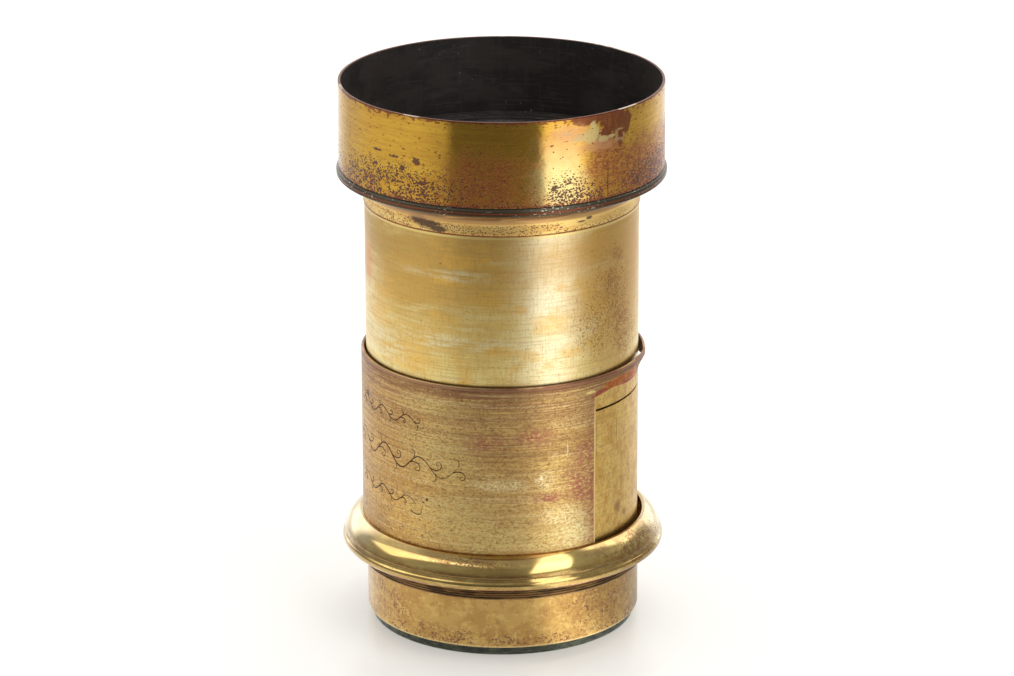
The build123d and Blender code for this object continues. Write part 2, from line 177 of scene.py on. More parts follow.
def lathe(name, body, outline, materials, replaces, is_second=None, segments=256, shift=None):
    """Turns a closed outline of (r, z) points about the axis. is_second(r, z) picks the second material,
    and shift(angle, r, z) moves a point in or out."""
    count = len(outline)
    points = []
    for k in range(segments):
        angle = FULL_TURN * k / segments
        for r, z in outline:
            points.append(on_round(angle, r + (shift(angle, r, z) if shift else 0), z))
    faces, kinds = [], []
    for k in range(segments):
        a, b = k * count, (k + 1) % segments * count
        for i in range(count):
            j = (i + 1) % count
            faces.append((a + i, b + i, b + j, a + j))
            middle = [(outline[i][n] + outline[j][n]) / 2 for n in (0, 1)]
            kinds.append(int(bool(is_second and is_second(*middle))))
    piece = make_piece(name, body, points, faces, materials, kinds, replaces)
    outwards(piece)
    even_normals(piece)


def outwards(piece):
    """Turns the faces of a closed mesh to look outwards."""
    work = bmesh.new()
    work.from_mesh(piece.data)
    bmesh.ops.recalc_face_normals(work, faces=work.faces)
    work.to_mesh(piece.data)
    work.free()


def shell(name, body, columns, levels, keep, outer, inner, height, materials, edge, replaces):
    """Sheet metal rolled about the axis. columns are angles round the full turn and levels run upwards.
    keep(angle, level) says whether the sheet is there. outer and inner give radii, and height gives z,
    each from (angle, level)."""
    index, points, faces, kinds = {}, [], [], []

    def corner(side, i, j):
        i %= len(columns)
        if (side, i, j) not in index:
            index[side, i, j] = len(points)
            radius = (outer, inner)[side](columns[i], levels[j])
            points.append(on_round(columns[i], radius, height(columns[i], levels[j])))
        return index[side, i, j]

    def middle(i):
        step = (columns[(i + 1) % len(columns)] - columns[i]) % FULL_TURN
        return (columns[i] + step / 2) % FULL_TURN

    cells = {
        (i, j)
        for i in range(len(columns))
        for j in range(len(levels) - 1)
        if keep(middle(i), (levels[j] + levels[j + 1]) / 2)
    }
    for i, j in sorted(cells):
        corners = [(i, j), (i + 1, j), (i + 1, j + 1), (i, j + 1)]
        faces.append([corner(0, *c) for c in corners])
        kinds.append(0)
        faces.append([corner(1, *c) for c in reversed(corners)])
        kinds.append(1)
        neighbours = [(i, j - 1), ((i + 1) % len(columns), j), (i, j + 1), ((i - 1) % len(columns), j)]
        for n, neighbour in enumerate(neighbours):
            if neighbour not in cells:
                a, b = corners[n], corners[(n + 1) % 4]
                faces.append([corner(0, *b), corner(0, *a), corner(1, *a), corner(1, *b)])
                kinds.append(0)
    piece = make_piece(name, body, points, faces, materials, kinds, replaces)
    outwards(piece)
    ease_edges(piece, edge, 40)


def even_columns(step, *exact):
    """Angles round the full turn about a step apart that include the exact ones."""
    stops = sorted(a % FULL_TURN for a in exact) or [0.0]
    angles = []
    for i, start in enumerate(stops):
        span = (stops[(i + 1) % len(stops)] - start) % FULL_TURN or FULL_TURN
        count = max(1, round(span / step))
        angles += [(start + span * k / count) % FULL_TURN for k in range(count)]
    return sorted(angles)


def strokes(name, body, paths, radius, material):
    """Engraved lines on a round of that radius. A path is a list of (arc length round, z, width)."""
    bank, bed, depth = 0.012, 0.003, 0.08
    points, faces = [], []
    for path in paths:
        first = len(points)
        for i, (u, v, width) in enumerate(path):
            before, after = path[max(i - 1, 0)], path[min(i + 1, len(path) - 1)]
            along = Vector((after[0] - before[0], after[1] - before[1])).normalized()
            side = Vector((-along.y, along.x)) * width / 2
            for offset, lift in ((side, bank), (side * 0, bed), (-side, bank), (side * 0, -depth)):
                angle = degrees((u + offset.x) / radius)
                points.append(on_round(angle, radius + lift, v + offset.y))
        last = first + 4 * (len(path) - 1)
        for start in range(first, last, 4):
            for k in range(4):
                faces.append((start + k, start + (k + 1) % 4, start + 4 + (k + 1) % 4, start + 4 + k))
        faces.append([first + k for k in range(4)])
        faces.append([last + 3 - k for k in range(4)])
    outwards(make_piece(name, body, points, faces, [material]))


def dressed(node, body, material, edge):
    """A CAD node's shape with its flat faces joined up and its sharp edges eased."""
    work = bmesh.new()
    work.from_mesh(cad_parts[node].data)
    bmesh.ops.remove_doubles(work, verts=work.verts, dist=0.002 * MM)
    bmesh.ops.dissolve_limit(work, angle_limit=radians(2), verts=work.verts, edges=work.edges)
    points = [v.co / MM for v in work.verts]
    faces = [[v.index for v in f.verts] for f in work.faces]
    work.free()
    piece = make_piece(node + "_eased", body, points, faces, [material], replaces=[node])
    ease_edges(piece, edge, 35)


# ---- node helpers
def srgb(red, green, blue):
    """Linear colour from 0-255 display values."""
    def linear(value):
        value /= 255
        return value / 12.92 if value <= 0.04045 else ((value + 0.055) / 1.055) ** 2.4
    return (linear(red), linear(green), linear(blue), 1.0)


def as_linear(colour):
    """Turns three display values into a linear colour, and leaves a linear one or a socket as it is."""
    return srgb(*colour) if isinstance(colour, tuple) and len(colour) == 3 else colour


def triple(scale):
    """An (x, y, z) scale from one number, or from one for round about and one for up."""
    if isinstance(scale, (int, float)):
        return (scale,) * 3
    return scale if len(scale) == 3 else (scale[0], *scale)


class Graph:
    """The nodes of a material or of the world."""

    def __init__(self, owner):
        owner.use_nodes = True
        self.tree = owner.node_tree
        self.tree.nodes.clear()

    def add(self, kind, values=(), **settings):
        node = self.tree.nodes.new("ShaderNode" + kind)
        for key, value in settings.items():
            setattr(node, key, value)
        for key, value in dict(values).items():
            self.put(node.inputs[key], value)
        return node

    def put(self, socket, value):
        if isinstance(value, bpy.types.NodeSocket):
            self.tree.links.new(value, socket)
        else:
            socket.default_value = value

    def vector(self, operation, a, b=None, scale=None):
        node = self.add("VectorMath", {0: a}, operation=operation)
        if b is not None:
            self.put(node.inputs[1], b)
        if scale is not None:
            self.put(node.inputs["Scale"], scale)
        return node.outputs["Value" if operation == "LENGTH" else "Vector"]

    def math(self, operation, a, b=0.0, clamp=False):
        return self.add("Math", {0: a, 1: b}, operation=operation, use_clamp=clamp).outputs["Value"]

    def ramp(self, value, low, high, start=0.0, end=1.0):
        """Smoothly from start to end as value goes from low to high."""
        values = {"Value": value, "From Min": low, "From Max": high, "To Min": start, "To Max": end}
        return self.add("MapRange", values, interpolation_type="SMOOTHSTEP").outputs["Result"]

    def mix(self, factor, a, b):
        return self.add("Mix", {"Factor": factor, 6: a, 7: b}, data_type="RGBA").outputs[2]

    def mix_value(self, factor, a, b):
        return self.add("Mix", {"Factor": factor, 2: a, 3: b}, data_type="FLOAT").outputs[0]

    def by_azimuth(self, axes, stops):
        """Brightness by azimuth in degrees, 0 towards the front, -Y, and 90 towards +X."""
        back = self.math("MULTIPLY", axes.outputs["Y"], -1.0)
        turn = self.math("ADD", self.math("DIVIDE", self.math("ARCTAN2", axes.outputs["X"], back), tau), 0.5)
        node = self.add("ValToRGB", {"Fac": turn})
        elements = node.color_ramp.elements
        while len(elements) < len(stops):
            elements.new(0.5)
        for element, (azimuth, value) in zip(elements, stops):
            element.position = azimuth / FULL_TURN + 0.5
            element.color = (value, value, value, 1)
        return node.outputs[0]


class Finish(Graph):
    """A procedural material built up in layers. Its coordinates are the object's own, in millimetres, and the
    scale of each texture is per millimetre. A colour is display values from 0 to 255. radius is that of the
    round that patches are laid on."""

    def __init__(self, name, colour, roughness, metallic=1.0, radius=0.0):
        self.material = bpy.data.materials.new(name)
        super().__init__(self.material)
        self.colour, self.roughness, self.metallic = as_linear(colour), roughness, metallic
        self.radius = radius
        self.bumps = []
        self.seed = 0
        self.place = self.vector("SCALE", self.add("TexCoord").outputs["Object"], scale=1 / MM)
        self.z = self.add("SeparateXYZ", {"Vector": self.place}).outputs["Z"]

    def times(self, *masks):
        return reduce(lambda a, b: self.math("MULTIPLY", a, b), masks)

    def largest(self, *masks):
        return reduce(lambda a, b: self.math("MAXIMUM", a, b), masks)

    def up(self, low, high):
        """0 below one height and 1 above the other, or the reverse."""
        return self.ramp(self.z, low, high) if low < high else self.ramp(self.z, high, low, 1.0, 0.0)

    def scaled(self, scale, steps):
        """The place at a scale, moved on by some steps each time, so that no two textures are alike."""
        self.seed += 1
        place = self.vector("MULTIPLY", self.place, triple(scale))
        return self.vector("ADD", place, [self.seed * step for step in steps])

    def noise(self, scale, detail=3.0, rough=0.55):
        """Noise from 0 to 1."""
        place = self.scaled(scale, (13.7, 7.1, 3.3))
        node = self.add("TexNoise", {"Vector": place, "Scale": 1.0, "Detail": detail, "Roughness": rough})
        return node.outputs["Fac"]

    def wander(self, ragged, *noise):
        """Noise about 0, which makes an edge ragged."""
        return self.math("MULTIPLY", self.math("SUBTRACT", self.noise(*noise), 0.5), 2 * ragged)

    def blotch(self, scale, low, high, detail=4.0, rough=0.6):
        return self.ramp(self.noise(scale, detail, rough), low, high)

    def specks(self, density, scale, threshold=0.72, crowding=0.22, width=0.04):
        """Small marks that crowd together where density, 0 to 1, is high."""
        value = self.math("ADD", self.noise(scale, 2, 0.5), self.math("MULTIPLY", density, crowding))
        return self.ramp(value, threshold, threshold + width)

    def dots(self, density, scale, size=0.5, ragged=0.25):
        """Roundish dots that grow and join up where density, 0 to 1, is high."""
        place = self.scaled(scale, (9.1, 5.3, 2.9))
        away = self.add("TexVoronoi", {"Vector": place, "Scale": 1.0}).outputs["Distance"]
        wander = self.wander(ragged, [2 * n for n in triple(scale)], 2)
        reach = self.math("ADD", self.math("MULTIPLY", density, size), wander)
        return self.ramp(self.math("SUBTRACT", reach, away), -0.03, 0.05)

    def patches(self, spots, ragged, grain, soft):
        """1 inside any of the ellipses, 0 outside, with a ragged edge. A spot is (angle, z, half width, half
        height)."""
        wander = self.wander(ragged, grain, 4, 0.6)
        masks = []
        for angle, z, width, tall in spots:
            where = {"Vector": self.place, "Location": on_round(angle, self.radius, z),
                     "Rotation": (0, 0, radians(angle)), "Scale": (width, self.radius, tall)}
            node = self.add("Mapping", where, vector_type="TEXTURE")
            away = self.math("ADD", self.vector("LENGTH", node.outputs["Vector"]), wander)
            masks.append(self.ramp(away, 1 - soft, 1 + soft, 1.0, 0.0))
        return self.largest(*masks)

    def layer(self, mask, colour=None, roughness=None, amount=1.0, metallic=None):
        """Lays a colour, roughness or metallic over what is there, by a mask or the product of several."""
        if isinstance(mask, list):
            mask = self.times(*mask)
        if amount != 1.0:
            mask = self.math("MULTIPLY", mask, amount)
        if colour is not None:
            self.colour = self.mix(mask, self.colour, as_linear(colour))
        if roughness is not None:
            self.roughness = self.mix_value(mask, self.roughness, roughness)
        if metallic is not None:
            self.metallic = self.mix_value(mask, self.metallic, metallic)

    def bump(self, height, depth):
        """Adds relief: height is 0 to 1, depth in millimetres."""
        self.bumps.append((height, depth))

    def done(self, coat=0.0, coat_roughness=0.1, constants=()):
        shader = self.add("BsdfPrincipled", {
            "Base Color": self.colour, "Roughness": self.roughness, "Metallic": self.metallic,
            "Coat Weight": coat, "Coat Roughness": coat_roughness, **dict(constants)})
        normal = None
        for height, depth in self.bumps:
            node = self.add("Bump", {"Height": height, "Distance": depth * MM})
            if normal is not None:
                self.put(node.inputs["Normal"], normal)
            normal = node.outputs["Normal"]
        if normal is not None:
            self.put(shader.inputs["Normal"], normal)
        self.put(self.add("OutputMaterial").inputs[0], shader.outputs[0])
        return self.material


# ---- materials
PURPLE = (92, 50, 44)
VERDIGRIS = (70, 74, 58)
CREAM = (212, 190, 128)


def turning_lines(finish, per_mm, depth):
    """Fine rings left by the lathe."""
    finish.bump(finish.noise((0.02, 0.02, per_mm), 3, 0.6), depth)


def hood_finish():
    f = Finish("hood_brass", (226, 178, 68), 0.1, radius=hood_r)
    f.layer(f.blotch((0.03, 0.25), 0.42, 0.6), (216, 166, 64), 0.13)
    f.layer(f.blotch((0.04, 1.6), 0.46, 0.6), (196, 142, 54), 0.15, 0.35)
    f.layer(f.blotch((0.3, 2.2), 0.54, 0.62, 4, 0.7), (176, 120, 46), 0.2, 0.4)
    # a tan bloom, and below it a painted highlight: paler brass laid where the right soft box is mirrored,
    # with a paler patch round the back as well
    f.layer(f.patches([(20, 131, 7, 6)], 0.7, 0.2, 0.6), (228, 178, 122), 0.2, 0.6)
    f.layer(f.patches([(20, 121, 8, 9), (200, 121, 20, 6)], 0.6, 0.2, 0.6), (240, 218, 146), 0.14, 0.9)
    # red-brown film, streaked round, over the middle and the right of the lower half
    film = f.patches([(-5, 123, 11, 8), (60, 122, 18, 8), (40, 128, 7, 7), (82, 122, 16, 7),
        (205, 124, 30, 8)], 0.8, 0.16, 0.6)
    f.layer([film, f.blotch((0.1, 0.7), 0.3, 0.5)], (206, 134, 72), 0.28, 0.75)
    f.layer([film, f.blotch((0.5, 1.6), 0.48, 0.55, 4, 0.7)], (160, 88, 50), 0.34, 0.75, 0.85)
    f.layer([film, f.blotch((1.2, 1.8), 0.5, 0.56, 3)], (108, 58, 36), 0.4, 0.7, 0.7)
    f.layer([film, f.blotch((1.5, 2.4), 0.56, 0.61, 3)], (236, 156, 84), 0.24, 0.5)
    f.layer([f.up(hood_foot + 6, hood_foot + 1), f.blotch((0.15, 0.7), 0.44, 0.58)],
        (188, 106, 58), 0.24, 0.4)
    # purple specks, thicker towards the base and round the left
    crowd = f.largest(f.patches([(-44, 118, 30, 12.5), (24, 117.5, 8, 8), (34, 116, 8, 6), (64, 119, 18, 7),
        (150, 118, 44, 10), (250, 118, 30, 12)], 0.35, 0.12, 0.7), f.up(hood_foot + 6, hood_foot - 1))
    crowd = f.times(crowd, f.up(hood_foot + 20, hood_foot + 5), f.blotch((0.16, 0.3), 0.3, 0.46))
    marks = f.largest(f.dots(crowd, (1.0, 1.3), 0.46), f.dots(crowd, (0.6, 0.9), 0.26),
        f.dots(crowd, (1.5, 1.9), 0.46))
    f.layer(marks, PURPLE, 0.36, 0.92, 0.6)
    f.layer(f.blotch((0.75, 1.4), 0.69, 0.71, 2), PURPLE, 0.4, 0.85, 0.6)
    spots = f.patches([(-30.6, 127.6, 1.35, 1.15), (-36.2, 125.1, 0.85, 0.7), (18.1, 120.9, 0.7, 0.85),
        (-28.9, 121.4, 1.5, 0.4), (-48, 128.6, 1.7, 0.35), (-40, 127.9, 1.6, 0.45), (-49, 124.5, 0.9, 0.5),
        (112, 124, 1.4, 1.1), (214, 129, 1.7, 1.3)], 1.3, 1.2, 0.2)
    f.layer(spots, PURPLE, 0.4, 0.9, 0.5)
    # foot line, red-brown
    f.layer([f.up(hood_foot + 1.4, hood_foot + 0.4), f.blotch(0.5, 0.44, 0.54)], (140, 66, 44),
        0.35, 0.8, 0.8)
    f.layer(f.up(hood_foot + 0.3, hood_foot + 0.15), VERDIGRIS, 0.5, metallic=0.4)
    # dark stain at the upper right with a pale scrape through it
    stain = f.patches([(42, 138.3, 5.6, 3.6), (32, 139.6, 7, 1.6), (44.5, 134.5, 2.6, 4.4),
        (48, 137, 2.0, 3.4), (38, 134.2, 2.6, 2.6)], 0.7, 0.5, 0.2)
    f.layer([stain, f.blotch((0.5, 0.25), 0.26, 0.38)], (118, 58, 34), 0.26, 0.92, 0.85)
    f.layer([stain, f.blotch((1.4, 0.25), 0.54, 0.62)], (170, 100, 58), 0.28, 0.5)
    scrape = f.patches([(23.5, 136.2, 1.6, 0.5), (28, 134.8, 2.8, 1.2), (32.5, 134.9, 2.6, 2.3),
        (33, 137.4, 1.0, 1.6), (37, 133.2, 2.2, 0.9), (41, 133.6, 1.2, 0.5)], 1.0, 0.9, 0.2)
    f.layer(f.patches([(43.2, 133.6, 0.6, 1.6), (44.8, 132.0, 1.9, 0.55), (44.6, 135.0, 1.5, 0.3),
        (46.8, 133.0, 0.35, 0.9)], 1.3, 1.1, 0.4), (204, 168, 110), 0.34, 0.7, 0.9)
    f.layer([scrape, f.blotch(0.7, 0.3, 0.42)], CREAM, 0.34, 0.85, 0.85)
    f.layer(f.patches([(24, 136.5, 5, 2.2), (36, 131.5, 6, 1.6)], 0.8, 0.4, 0.5), (214, 158, 110), 0.3, 0.6)
    # rim, red-brown, rubbed bright in places
    worn = f.blotch((0.05, 0.1), 0.55, 0.6, 3, 0.6)
    edge = f.specks(f.up(hood_high - 2.4, hood_high - 0.3), (0.7, 1.3), 0.66, 0.16, 0.03)
    f.layer(edge, (138, 72, 44), 0.32, 0.85, 0.85)
    f.layer(f.up(hood_high - 0.5, hood_high - 0.3), (112, 60, 38), 0.35, 0.92, 0.9)
    f.layer([f.up(hood_high - 0.26, hood_high - 0.15), worn], (226, 206, 180), 0.3, 0.85, 1.0)
    turning_lines(f, 6.0, 0.004)
    f.bump(marks, -0.02)
    f.bump(f.noise(0.25, 2), 0.05)
    return f.done(0.12, 0.05)


def black_finish():
    """Matt black paint with dust, rubbed lines and small chips."""
    f = Finish("blacked", (42, 37, 35), 0.5, 0.0)
    f.layer(f.blotch((0.06, 0.12), 0.42, 0.6), (60, 53, 49), 0.42)
    f.layer(f.blotch((1.1, 0.08), 0.55, 0.66, 4, 0.7), (78, 70, 66), 0.5, 0.35)
    f.layer(f.blotch((0.12, 1.4), 0.53, 0.63, 4, 0.7), (78, 70, 66), 0.5, 0.5)
    dusty = f.blotch(0.07, 0.5, 0.6)
    f.layer(f.specks(dusty, (1.4, 1.0), 0.72, 0.06), (140, 138, 136), 0.8, 0.5)
    f.layer(f.specks(dusty, (0.8, 0.5), 0.75, 0.06), (140, 94, 64), 0.6, 0.5)
    f.bump(f.noise((0.05, 3.0), 2), 0.02)
    return f.done()


def cell_finish():
    f = Finish("front_cell_brass", (250, 212, 128), 0.36, radius=cell_band_r)
    f.layer(f.blotch((0.05, 0.5), 0.42, 0.6), (238, 192, 112), 0.42)
    crowd = f.largest(f.patches([(-42, 107, 24, 4), (5, 106.4, 22, 3), (150, 107, 30, 4)], 0.4, 0.2, 0.6),
        f.up(110, 105))
    crowd = f.times(crowd, f.up(cell_band_high + 0.3, cell_band_high - 0.2),
        f.blotch((0.2, 0.6), 0.34, 0.48))
    marks = f.largest(f.dots(crowd, (1.6, 2.4), 0.4), f.dots(crowd, (0.6, 2.0), 0.22))
    f.layer(marks, (112, 68, 58), 0.4, 0.88, 0.75)
    f.layer(f.up(tube_high + 0.7, tube_high + 0.3), (150, 76, 46), 0.35, 0.75, 0.85)
    smudge = f.patches([(-35.5, 108.4, 3.2, 1.4), (-31, 107.4, 3.8, 1.3), (-26.5, 106.4, 2.8, 0.9),
        (38, 108.3, 1.1, 0.5), (34, 107.6, 1.4, 0.25), (150, 107.3, 5.0, 1.1)], 0.5, 0.5, 0.4)
    f.layer(smudge, (88, 64, 50), 0.42, 0.9, 0.7)
    # painted shade: the cove is duller, and darker up under the flange that overhangs it; the flange's edge
    # is brown with green in its corners
    f.layer(f.up(cell_band_high - 0.1, cell_band_high + 0.5), (178, 134, 84), 0.3, 0.85)
    f.layer([f.up(108.9, 110.8), f.blotch((0.1, 1.0), 0.34, 0.52)], (108, 76, 48), 0.34, 0.85, 0.95)
    f.layer(f.up(112.9, 113.05), (104, 80, 56), 0.3, metallic=0.9)
    f.layer([f.up(112.9, 113.1), f.up(113.7, 113.5)], VERDIGRIS, 0.34, 0.7, 0.8)
    f.layer([f.up(113.62, 113.74), f.up(114.4, 114.3)], (126, 70, 46), 0.3, 0.8, 0.95)
    f.layer(f.up(114.45, 114.6), (74, 68, 54), 0.32, 0.9, 0.8)
    # painted glints: pale specks on the flange's lower edge stand in for light it catches
    glints = f.times(f.up(112.9, 113.1), f.specks(f.blotch((0.06, 0.2), 0.48, 0.56), (1.1, 3.0), 0.7, 0.08))
    f.layer(glints, (206, 200, 180), 0.28, 0.85, 1.0)
    turning_lines(f, 5.0, 0.006)
    f.bump(marks, -0.015)
    return f.done(0.1, 0.15)


def tube_finish():
    f = Finish("tube_brass", (230, 198, 114), 0.36, radius=tube_r)
    f.layer(f.up(72, 100), (212, 172, 96), 0.38, 0.85)
    f.layer(f.up(88, 62), (250, 228, 150), 0.34, 0.8)
    f.layer(f.patches([(-44, 96, 22, 9), (-40, 86, 12, 8)], 0.8, 0.1, 0.7), (188, 154, 84), 0.4, 0.6)
    f.layer(f.blotch((0.02, 0.07), 0.42, 0.6, 3), (218, 174, 90), 0.4, 0.5)
    # painted highlight: a pale wash laid where the right soft box is mirrored
    f.layer(f.patches([(21, 86, 9, 34)], 0.5, 0.1, 0.8), (253, 243, 204), 0.33, 0.9)
    # painted sheen: paler brass along the left and right edges as seen from the front
    f.layer(f.patches([(-78, 72, 12, 18), (84, 78, 5, 30)], 0.4, 0.1, 0.8), (252, 236, 180), 0.34, 0.7)
    # soft clouds, streaked round, pale and yellow
    grain = f.blotch((0.1, 0.6), 0.4, 0.58, 4, 0.7)
    f.layer([grain, f.blotch((0.03, 0.14), 0.48, 0.62, 3)], (240, 224, 164), 0.32, 0.5)
    f.layer(f.blotch((0.06, 0.16), 0.54, 0.64, 4), (234, 184, 88), 0.34, 0.5)
    f.layer(f.patches([(-18.5, 97.5, 6, 2), (21, 78, 6, 3), (-5, 70.7, 2.2, 1.2), (2, 70.6, 1.4, 1.2),
        (-40, 66, 6, 4), (-16, 63, 2.5, 3), (-24, 91, 3, 1.6), (8, 83, 2, 1.2)], 1.0, 0.3, 0.6),
        (240, 188, 88), 0.34, 0.5)
    cloud = f.patches([(-23, 92.6, 12, 1.4), (21, 92.8, 11, 1.2), (-24, 72.5, 20, 1.6), (8, 72.8, 16, 1.0),
        (-60, 68, 9, 5), (34, 74.6, 8, 1.0), (26, 86.5, 6, 0.8)], 1.0, 0.16, 0.7)
    f.layer([cloud, grain], (240, 228, 182), 0.32, 0.6)
    # the left edge has reddened, and so have stretches behind
    f.layer(f.patches([(-77, 89, 5, 6), (76, 94, 3, 3), (150, 80, 16, 9), (228, 92, 14, 7)], 0.7, 0.2, 0.5),
        (232, 156, 84), 0.36, 0.7)
    # the right side is browner, with fine brown specks
    side = f.patches([(58, 82, 17, 26), (38, 97, 20, 7), (172, 88, 24, 18)], 0.6, 0.08, 0.6)
    f.layer(side, (206, 160, 88), 0.38, 0.62)
    worn = f.patches([(52, 86, 3.5, 4), (57, 75, 5, 5), (61, 67, 4, 4), (56, 95, 3, 2)], 1.3, 0.22, 0.7)
    f.layer([worn, f.blotch(0.5, 0.42, 0.54, 4, 0.7)], (176, 120, 72), 0.4, 0.65)
    crowd = f.patches([(43, 75, 7, 10), (53, 84, 9, 11), (62, 72, 9, 9), (170, 95, 14, 12)], 0.6, 0.2, 0.9)
    f.layer(f.specks(crowd, (1.6, 2.0), 0.68, 0.17, 0.05), (138, 96, 58), 0.44, 0.65, 0.9)
    f.layer(f.patches([(-26, 96, 0.3, 0.25), (-41, 66, 0.22, 0.2)], 0.4, 1.0, 0.3), (130, 84, 50),
        0.4, 0.7, 0.8)
    # the stretch seen through the window is browner and speckled
    seen = f.up(slot_z + 9, slot_z + 5)
    f.layer(seen, (230, 190, 104), 0.38, 0.8)
    f.layer([seen, f.blotch((0.25, 0.2), 0.45, 0.6)], (208, 160, 82), 0.4, 0.7)
    f.layer([seen, f.blotch((1.2, 0.8), 0.52, 0.6, 4, 0.7)], (164, 120, 66), 0.42, 0.45, 0.95)
    f.layer([seen, f.patches([(43, 42, 0.12, 6), (56, 41, 0.14, 4), (60, 30, 0.1, 7)], 0.3, 0.2, 0.6)],
        (104, 74, 42), 0.5, 0.7, 0.8)
    f.layer(f.patches([(57, 17, 1.5, 1.7), (63, 14, 1.1, 1.1)], 0.9, 0.8, 0.6), (140, 84, 62), 0.4, 0.6)
    # fine brushing up and down, over finer lathe rings
    f.layer(f.blotch((2.4, 0.22), 0.48, 0.66, 3), (196, 156, 86), 0.4, 0.28)
    f.layer(f.blotch((0.06, 2.0), 0.5, 0.62, 3), (190, 148, 84), 0.4, 0.3)
    f.layer(f.blotch(1.5, 0.56, 0.64, 3), (178, 138, 80), 0.42, 0.28)
    # painted highlight: the bright line along the top edge, where its chamfer catches the light
    f.layer(f.up(103.9, 104.4), (246, 220, 140), 0.3, 0.8)
    turning_lines(f, 4.0, 0.008)
    f.bump(f.noise((2.4, 0.08), 2), 0.006)
    f.bump(f.noise(0.12, 2), 0.05)
    return f.done(0.05, 0.2)


